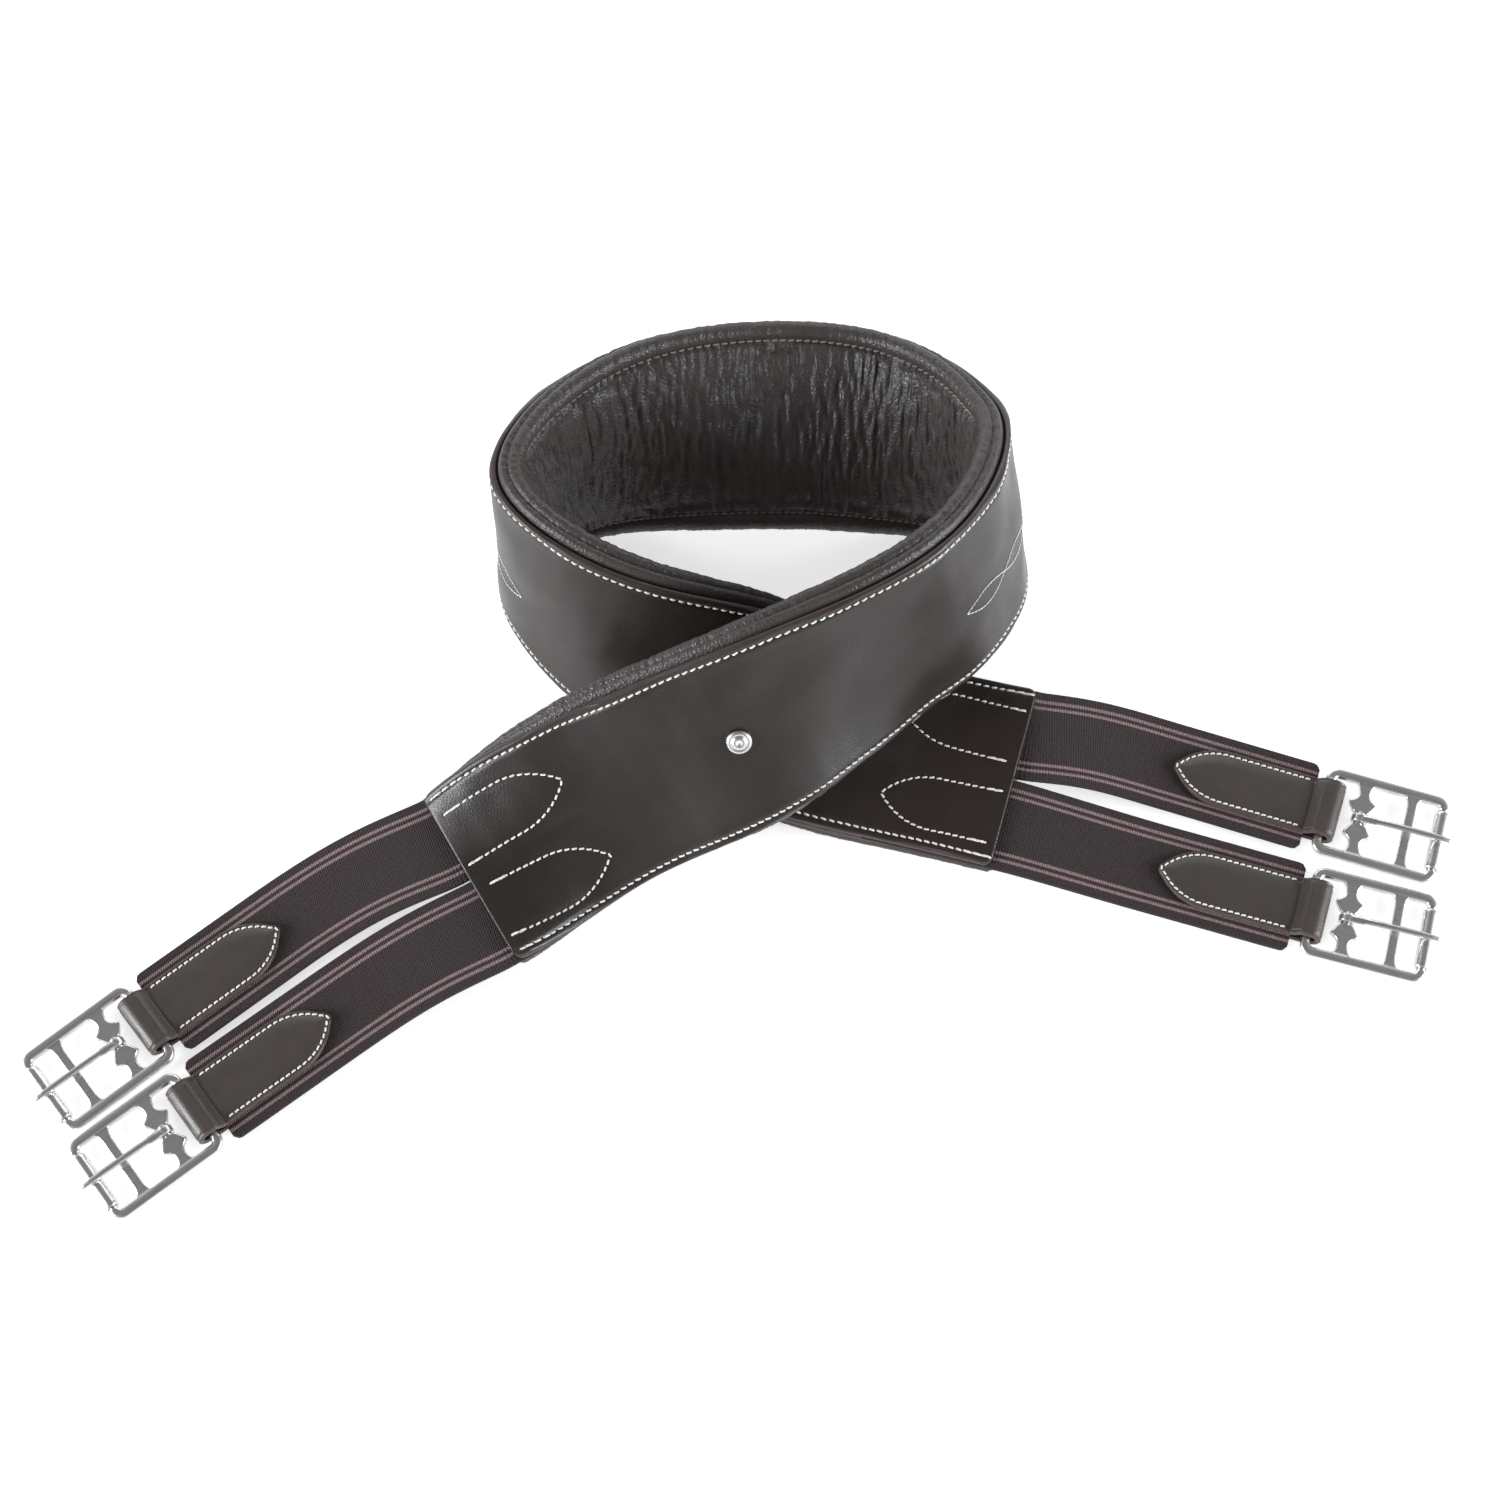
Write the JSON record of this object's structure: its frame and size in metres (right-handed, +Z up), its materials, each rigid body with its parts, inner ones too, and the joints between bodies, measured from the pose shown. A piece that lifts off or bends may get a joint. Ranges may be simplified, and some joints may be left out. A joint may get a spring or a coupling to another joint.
{
  "type": "saddle girth",
  "caption": "Padded leather saddle girth laid in a loop, with paired elastic straps, folded leather tabs and roller buckles at both ends.",
  "frame": {"origin": "on the ground, under the middle of the outline seen from above", "axes": "+Z up from the ground, +X towards the right-hand buckles, +Y towards the back of the loop"},
  "size_m": [0.5998, 0.381, 0.1154],
  "materials": {
    "leather": "smooth, lightly glossed, dark brown",
    "lining": "soft grained, padded",
    "webbing": "woven, hidden",
    "foam": "closed foam, hidden",
    "elastic": "ribbed weave, dark brown with paired mauve stripes",
    "steel": "satin",
    "nickel": "bright"
  },
  "bodies": {
    "band": {"outer_cover": "leather", "core_webbing": "webbing", "padded_lining": "lining", "foam_core": "foam", "upper_edge_roll": "foam", "lower_edge_roll": "foam", "stud_cap": "nickel", "stud_washer": "nickel", "left_rear_elastic": "elastic", "left_front_elastic": "elastic", "right_rear_elastic": "elastic", "right_front_elastic": "elastic"},
    "left_rear_tab": {"left_rear_tab": "leather"},
    "left_rear_buckle": {"left_rear_buckle": "steel"},
    "left_rear_tongue": {"left_rear_tongue": "steel"},
    "left_rear_roller": {"left_rear_roller": "steel"},
    "left_front_tab": {"left_front_tab": "leather"},
    "left_front_buckle": {"left_front_buckle": "steel"},
    "left_front_tongue": {"left_front_tongue": "steel"},
    "left_front_roller": {"left_front_roller": "steel"},
    "right_rear_tab": {"right_rear_tab": "leather"},
    "right_rear_buckle": {"right_rear_buckle": "steel"},
    "right_rear_tongue": {"right_rear_tongue": "steel"},
    "right_rear_roller": {"right_rear_roller": "steel"},
    "right_front_tab": {"right_front_tab": "leather"},
    "right_front_buckle": {"right_front_buckle": "steel"},
    "right_front_tongue": {"right_front_tongue": "steel"},
    "right_front_roller": {"right_front_roller": "steel"}
  },
  "joints": [
    {"name": "left_rear_stretch", "type": "slide", "parent": "band", "child": "left_rear_tab", "axis": [-0.7859, -0.6184, 0], "range_m": [0, 0.03], "stiffness_N_per_m": 1200, "deforming": ["left_rear_elastic"]},
    {"name": "left_rear_buckle_swing", "type": "hinge", "parent": "left_rear_tab", "child": "left_rear_buckle", "pos_m": [-0.24895, -0.10752, 0.0055], "axis": [-0.6184, 0.7859, 0], "range_deg": [-75, 90]},
    {"name": "left_rear_tongue_lift", "type": "hinge", "parent": "left_rear_buckle", "child": "left_rear_tongue", "pos_m": [-0.26104, -0.11703, 0.00482], "axis": [-0.6184, 0.7859, 0], "range_deg": [0, 90]},
    {"name": "left_rear_roller_spin", "type": "hinge", "parent": "left_rear_buckle", "child": "left_rear_roller", "pos_m": [-0.28781, -0.1381, 0.0033], "axis": [-0.6184, 0.7859, 0], "continuous": true},
    {"name": "left_front_stretch", "type": "slide", "parent": "band", "child": "left_front_tab", "axis": [-0.7965, -0.6046, 0], "range_m": [0, 0.03], "stiffness_N_per_m": 1200, "deforming": ["left_front_elastic"]},
    {"name": "left_front_buckle_swing", "type": "hinge", "parent": "left_front_tab", "child": "left_front_buckle", "pos_m": [-0.22615, -0.14522, 0.0055], "axis": [-0.6046, 0.7965, 0], "range_deg": [-75, 90]},
    {"name": "left_front_tongue_lift", "type": "hinge", "parent": "left_front_buckle", "child": "left_front_tongue", "pos_m": [-0.2384, -0.15452, 0.00482], "axis": [-0.6046, 0.7965, 0], "range_deg": [0, 90]},
    {"name": "left_front_roller_spin", "type": "hinge", "parent": "left_front_buckle", "child": "left_front_roller", "pos_m": [-0.26554, -0.17512, 0.0033], "axis": [-0.6046, 0.7965, 0], "continuous": true},
    {"name": "right_rear_stretch", "type": "slide", "parent": "band", "child": "right_rear_tab", "axis": [0.9511, -0.309, 0], "range_m": [0, 0.03], "stiffness_N_per_m": 1200, "deforming": ["right_rear_elastic"]},
    {"name": "right_rear_buckle_swing", "type": "hinge", "parent": "right_rear_tab", "child": "right_rear_buckle", "pos_m": [0.24565, -0.01292, 0.0055], "axis": [-0.2756, -0.9613, 0], "range_deg": [-75, 90]},
    {"name": "right_rear_tongue_lift", "type": "hinge", "parent": "right_rear_buckle", "child": "right_rear_tongue", "pos_m": [0.26044, -0.01716, 0.00482], "axis": [-0.2756, -0.9613, 0], "range_deg": [0, 90]},
    {"name": "right_rear_roller_spin", "type": "hinge", "parent": "right_rear_buckle", "child": "right_rear_roller", "pos_m": [0.29318, -0.02655, 0.0033], "axis": [-0.2756, -0.9613, 0], "continuous": true},
    {"name": "right_front_stretch", "type": "slide", "parent": "band", "child": "right_front_tab", "axis": [0.9573, -0.289, 0], "range_m": [0, 0.03], "stiffness_N_per_m": 1200, "deforming": ["right_front_elastic"]},
    {"name": "right_front_buckle_swing", "type": "hinge", "parent": "right_front_tab", "child": "right_front_buckle", "pos_m": [0.23685, -0.05852, 0.0055], "axis": [-0.2487, -0.9686, 0], "range_deg": [-75, 90]},
    {"name": "right_front_tongue_lift", "type": "hinge", "parent": "right_front_buckle", "child": "right_front_tongue", "pos_m": [0.25175, -0.06235, 0.00482], "axis": [-0.2487, -0.9686, 0], "range_deg": [0, 90]},
    {"name": "right_front_roller_spin", "type": "hinge", "parent": "right_front_buckle", "child": "right_front_roller", "pos_m": [0.28475, -0.07082, 0.0033], "axis": [-0.2487, -0.9686, 0], "continuous": true}
  ]
}
